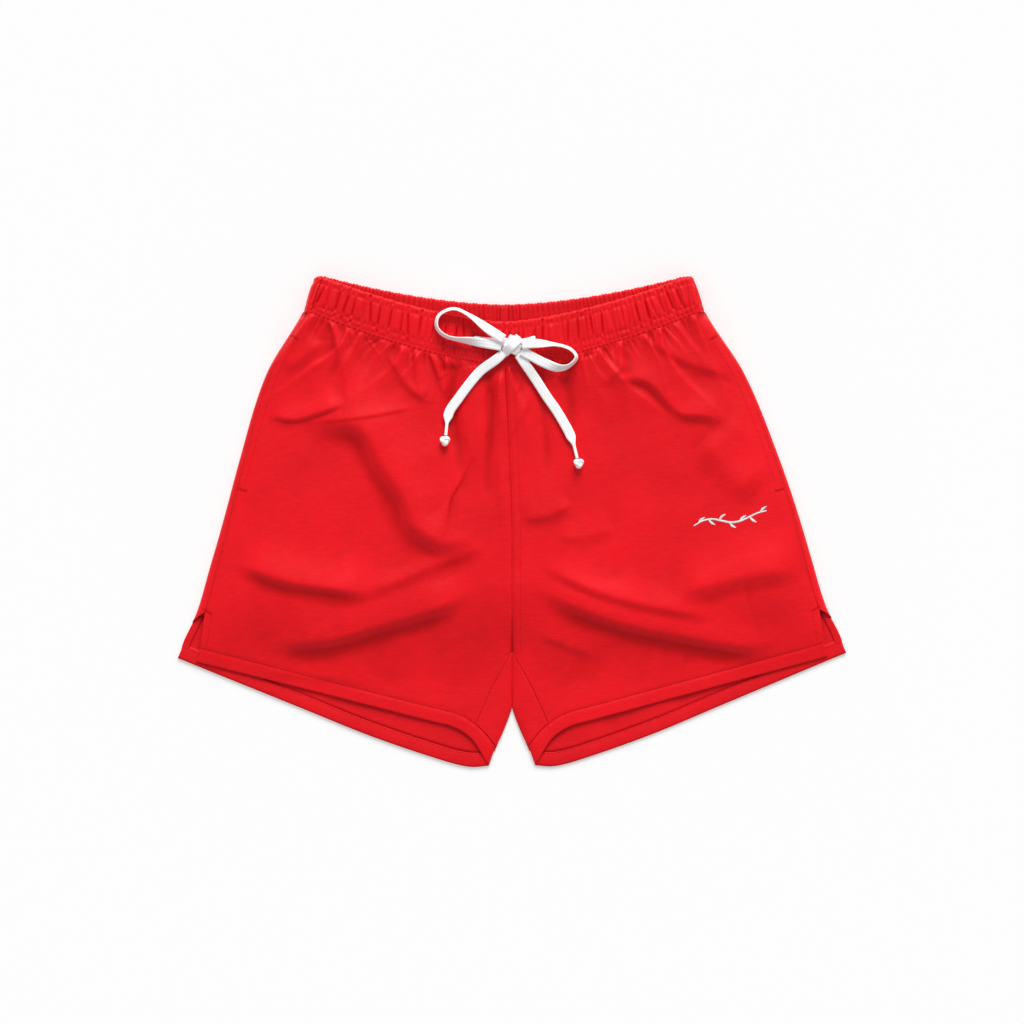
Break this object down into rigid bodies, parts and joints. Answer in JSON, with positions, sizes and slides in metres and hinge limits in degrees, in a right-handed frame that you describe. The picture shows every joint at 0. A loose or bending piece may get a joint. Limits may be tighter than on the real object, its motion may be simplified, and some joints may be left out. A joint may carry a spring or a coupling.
{
  "type": "boxing shorts",
  "caption": "Red satin-weave boxing shorts laid flat, with a gathered elastic waist, a white bow-tied flat drawcord, in-seam pockets and side vents.",
  "frame": {"origin": "on the floor, under the centre of the laid shorts' bounding box without the free cord", "axes": "+X to the viewer's right, +Y towards the waist, +Z out of the front; the shorts lie flat on their back"},
  "size_m": [0.6364, 0.4663, 0.028],
  "materials": {
    "shell_cloth": "red woven polyester with a soft satin sheen",
    "inner_cloth": "the duller inside of the same cloth, overlocked edges",
    "pocket_cloth": "thin matt red pocketing",
    "red_thread": "red sewing thread",
    "white_thread": "white embroidery thread with a sheen",
    "cord_knit": "white flat knitted cord",
    "elastic": "ribbed white elastic webbing"
  },
  "bodies": {
    "shorts": {"front_panel_left": "shell_cloth", "front_panel_right": "shell_cloth", "back_panel_left": "shell_cloth", "back_panel_right": "shell_cloth", "side_seam_upper_left": "shell_cloth", "side_seam_upper_right": "shell_cloth", "side_seam_lower_left": "shell_cloth", "side_seam_lower_right": "shell_cloth", "pocket_bag_front_left": "pocket_cloth", "pocket_bag_front_right": "pocket_cloth", "pocket_bag_back_left": "pocket_cloth", "pocket_bag_back_right": "pocket_cloth", "pocket_tack_top_left": "red_thread", "pocket_tack_top_right": "red_thread", "pocket_tack_bottom_left": "red_thread", "pocket_tack_bottom_right": "red_thread", "vent_tack_left": "red_thread", "vent_tack_right": "red_thread", "eyelet_left": "red_thread", "eyelet_right": "red_thread", "drawcord_stub_left": "cord_knit", "drawcord_stub_right": "cord_knit", "front_rise_seam": "inner_cloth", "back_rise_seam": "inner_cloth", "waistband_casing": "shell_cloth", "waistband_join": "inner_cloth", "waist_elastic": "elastic", "drawcord_in_casing": "cord_knit", "bow_knot": "cord_knit", "stitched_motif": "white_thread"},
    "leg_left": {"front_hem_left": "shell_cloth", "back_hem_left": "shell_cloth", "inseam_left": "shell_cloth", "vent_facing_front_left": "inner_cloth", "vent_facing_back_left": "inner_cloth"},
    "loop_left": {"bow_loop_left": "cord_knit"},
    "tail_left": {"drawcord_tail_left": "cord_knit", "tail_knot_left": "cord_knit"},
    "leg_right": {"front_hem_right": "shell_cloth", "back_hem_right": "shell_cloth", "inseam_right": "shell_cloth", "vent_facing_front_right": "inner_cloth", "vent_facing_back_right": "inner_cloth"},
    "loop_right": {"bow_loop_right": "cord_knit"},
    "tail_right": {"drawcord_tail_right": "cord_knit", "tail_knot_right": "cord_knit"}
  },
  "joints": [
    {"name": "leg_lift_left", "type": "hinge", "parent": "shorts", "child": "leg_left", "pos_m": [0, -0.129, 0.012], "axis": [-0.9865, 0.1554, -0.0507], "range_deg": [0, 55], "deforming": ["front_panel_left", "back_panel_left", "inseam_left", "side_seam_lower_left", "vent_facing_front_left", "vent_facing_back_left"]},
    {"name": "leg_lift_right", "type": "hinge", "parent": "shorts", "child": "leg_right", "pos_m": [0, -0.129, 0.012], "axis": [-0.9865, -0.1554, 0.0507], "range_deg": [0, 55], "deforming": ["front_panel_right", "back_panel_right", "inseam_right", "side_seam_lower_right", "vent_facing_front_right", "vent_facing_back_right"]},
    {"name": "loop_swing_left", "type": "hinge", "parent": "shorts", "child": "loop_left", "pos_m": [0, 0.166, 0.02], "axis": [0, 0, 1], "range_deg": [-14, 10]},
    {"name": "loop_swing_right", "type": "hinge", "parent": "shorts", "child": "loop_right", "pos_m": [0, 0.166, 0.02], "axis": [0, 0, 1], "range_deg": [-10, 14]},
    {"name": "tail_swing_left", "type": "hinge", "parent": "shorts", "child": "tail_left", "pos_m": [0, 0.166, 0.02], "axis": [0, 0, 1], "range_deg": [-14, 16]},
    {"name": "tail_swing_right", "type": "hinge", "parent": "shorts", "child": "tail_right", "pos_m": [0, 0.166, 0.02], "axis": [0, 0, 1], "range_deg": [-16, 14]}
  ]
}
